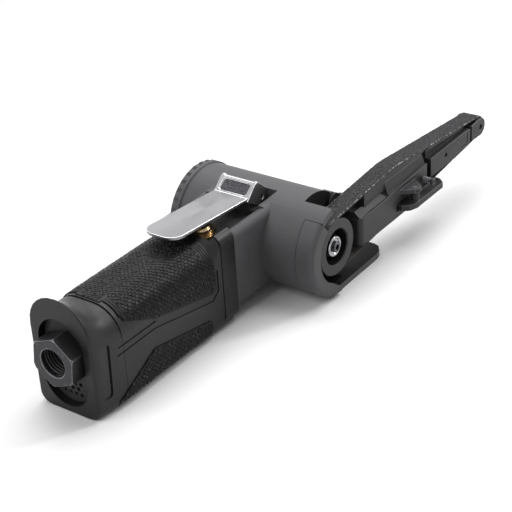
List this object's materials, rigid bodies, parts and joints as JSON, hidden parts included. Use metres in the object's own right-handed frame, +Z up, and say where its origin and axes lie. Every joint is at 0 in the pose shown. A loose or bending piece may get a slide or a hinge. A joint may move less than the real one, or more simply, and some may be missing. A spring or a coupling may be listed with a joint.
{
  "type": "air belt sander",
  "caption": "Hand-held air belt sander: moulded handle with a throttle lever, transverse motor with a scalloped cap, and a long slim arm carrying a narrow abrasive belt.",
  "frame": {"origin": "the point on the air inlet's axis where its full thread begins, at the rear of the handle", "axes": "+X from the handle to the belt's tip, +Y to the user's left, +Z up; the tool stands on the handle's underside and the belt guard's foot"},
  "size_m": [0.2809, 0.0866, 0.0536],
  "materials": {
    "housing_paint": "matte, fine grain",
    "handle_plastic": "satin moulded",
    "grip_rubber": "pebbled",
    "bare_steel": "brushed",
    "bright_chrome": "polished",
    "black_steel": "black oxide",
    "cast_arm": "matte cast",
    "brass": "turned",
    "belt_abrasive": "abrasive grain on cloth",
    "vane_resin": "matte",
    "seal_rubber": "smooth",
    "silencer_felt": "felt"
  },
  "bodies": {
    "handle": {"motor_housing": "housing_paint", "handle_sleeve": "handle_plastic", "top_grip_pad": "grip_rubber", "right_upper_pad": "grip_rubber", "left_upper_pad": "grip_rubber", "right_lower_pad": "grip_rubber", "left_lower_pad": "grip_rubber", "exhaust_cover": "handle_plastic", "exhaust_silencer": "silencer_felt", "inlet_bushing": "black_steel", "inlet_screen": "bare_steel", "valve_bushing": "brass", "valve_spring": "bare_steel", "lever_pin": "bare_steel", "motor_cap": "housing_paint", "cap_seal": "seal_rubber", "cylinder_liner": "bare_steel", "rear_end_plate": "cast_arm", "front_end_plate": "cast_arm", "rear_bearing": "bare_steel", "front_bearing": "bare_steel", "shaft_seal": "seal_rubber", "belt_guard": "housing_paint", "guard_screws": "black_steel", "arm_body": "cast_arm", "arm_screws": "black_steel", "contact_platen": "bare_steel", "tension_spring": "bare_steel", "sanding_belt": "belt_abrasive", "latch_pin": "bare_steel", "tracking_spring": "bare_steel"},
    "throttle_lever": {"throttle_lever": "bare_steel"},
    "throttle_valve": {"valve_stem": "brass", "valve_seal": "seal_rubber"},
    "rotor": {"rotor": "bare_steel", "rotor_vanes": "vane_resin", "drive_pulley": "housing_paint", "pulley_washer": "bright_chrome", "pulley_screw": "bare_steel"},
    "slide": {"slide_arm": "cast_arm", "slide_platen": "bare_steel", "tip_fork": "cast_arm", "fork_pin": "bare_steel", "tip_axle": "bare_steel"},
    "tip": {"tip_roller": "black_steel", "tip_bearing": "bare_steel"},
    "latch": {"latch_lever": "black_steel"},
    "tracking": {"tracking_screw": "black_steel"}
  },
  "joints": [
    {"name": "lever_press", "type": "hinge", "parent": "handle", "child": "throttle_lever", "pos_m": [0.1313, 0, 0.0178], "axis": [0, -1, 0], "range_deg": [0, 3.2], "stiffness_Nm_per_rad": 0.6, "springref_deg": -6.88},
    {"name": "valve_slide", "type": "slide", "parent": "handle", "child": "throttle_valve", "axis": [0, 0, -1], "range_m": [0, 0.00196], "deforming": ["valve_spring"]},
    {"name": "motor_spin", "type": "hinge", "parent": "handle", "child": "rotor", "pos_m": [0.1393, 0, -0.0028], "axis": [0, 1, 0], "continuous": true},
    {"name": "tension_slide", "type": "slide", "parent": "handle", "child": "slide", "axis": [-1, 0, 0], "range_m": [0, 0.0035], "stiffness_N_per_m": 2500, "springref_m": -0.004, "deforming": ["tension_spring"]},
    {"name": "tip_spin", "type": "hinge", "parent": "slide", "child": "tip", "pos_m": [0.2745, 0, 0.0026], "axis": [0, 1, 0], "continuous": true},
    {"name": "latch_swing", "type": "hinge", "parent": "handle", "child": "latch", "pos_m": [0.2003, -0.0493, -0.0028], "axis": [0, 0, -1], "range_deg": [0, 14], "stiffness_Nm_per_rad": 0.02, "springref_deg": -11.46},
    {"name": "tracking_turn", "type": "hinge", "parent": "handle", "child": "tracking", "pos_m": [0.2143, -0.045, -0.0009], "axis": [0, -1, 0], "range_deg": [-180, 180]}
  ],
  "couplings": [
    {"joint": "valve_slide", "follows": "lever_press", "m_per_rad": 0.035},
    {"joint": "tip_spin", "follows": "motor_spin", "ratio": 2.62}
  ]
}
